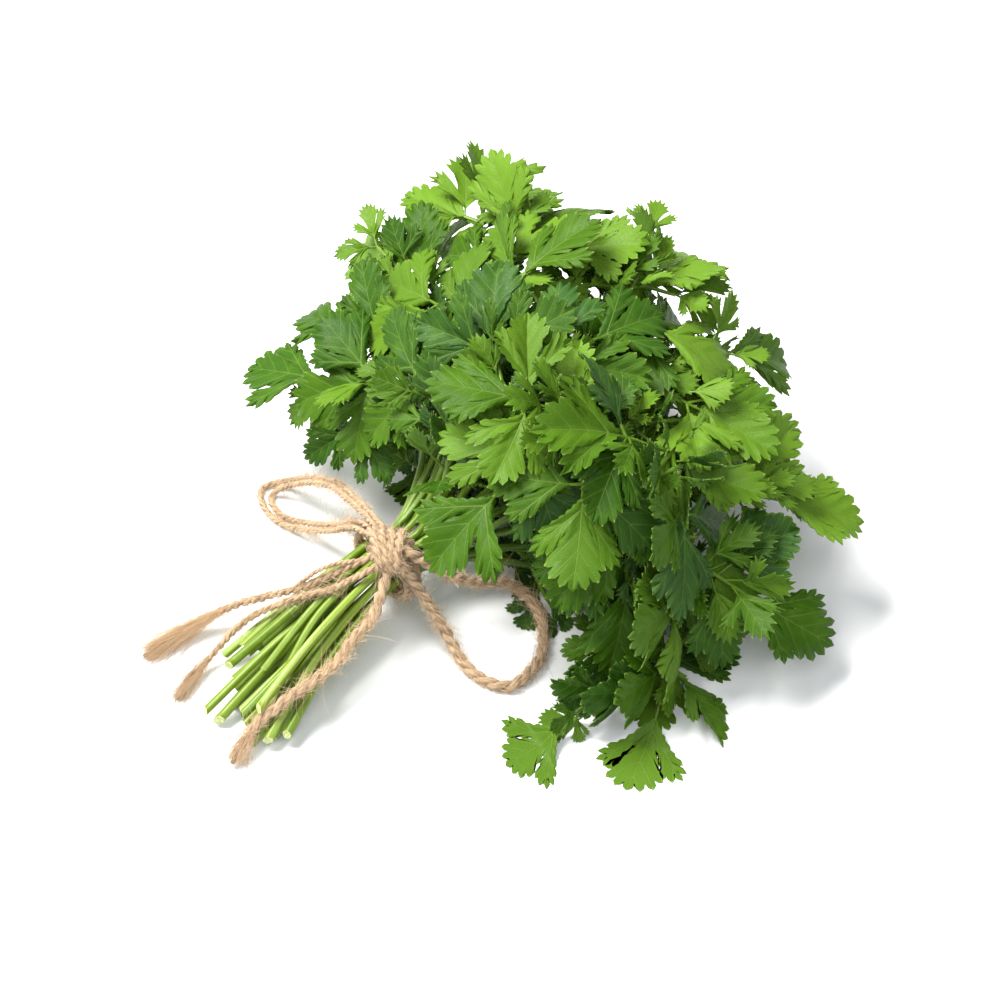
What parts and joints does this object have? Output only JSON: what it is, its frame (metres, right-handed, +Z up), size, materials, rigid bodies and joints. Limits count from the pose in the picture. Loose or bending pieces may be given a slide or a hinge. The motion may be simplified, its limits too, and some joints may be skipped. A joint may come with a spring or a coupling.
{
  "type": "flat-leaf parsley bunch",
  "caption": "Bunch of flat-leaf parsley lying on its side, its stalks tied with a jute twine bow, cut ends fanned out on one side and a low dome of leaves on the other.",
  "frame": {"origin": "on the surface that the bunch lies on, under the middle of the stems and the tie, without the free twine", "axes": "+X from the cut ends towards the leaves, +Z up, +Y to the back of the bunch seen with the cut ends on the left"},
  "size_m": [0.2404, 0.2272, 0.1098],
  "materials": {
    "herb": "satin",
    "jute": "matt, fibrous"
  },
  "bodies": {
    "root": {"bow_loop_back_inner": "jute", "bow_loop_back_outer": "jute", "bow_loop_front": "jute", "leafy_stem_back_floor": "herb", "leafy_stem_back_left": "herb", "leafy_stem_back_low": "herb", "leafy_stem_back_shoulder": "herb", "leafy_stem_beside_tie_back": "herb", "leafy_stem_beside_tie_front": "herb", "leafy_stem_crown_far": "herb", "leafy_stem_crown_middle": "herb", "leafy_stem_crown_near": "herb", "leafy_stem_far_floor": "herb", "leafy_stem_far_front": "herb", "leafy_stem_far_middle": "herb", "leafy_stem_front_corner": "herb", "leafy_stem_front_floor": "herb", "leafy_stem_front_high": "herb", "leafy_stem_front_low": "herb", "leafy_stem_front_over_tie": "herb", "leafy_stem_front_shoulder": "herb", "leafy_stem_inner_far": "herb", "leafy_stem_inner_front": "herb", "leafy_stem_right_high": "herb", "leafy_stem_right_low": "herb", "leafy_stem_top_back": "herb", "leafy_stem_top_far": "herb", "tail_back": "jute", "tail_front": "jute", "tail_middle": "jute", "twine_tie": "jute"}
  },
  "joints": []
}
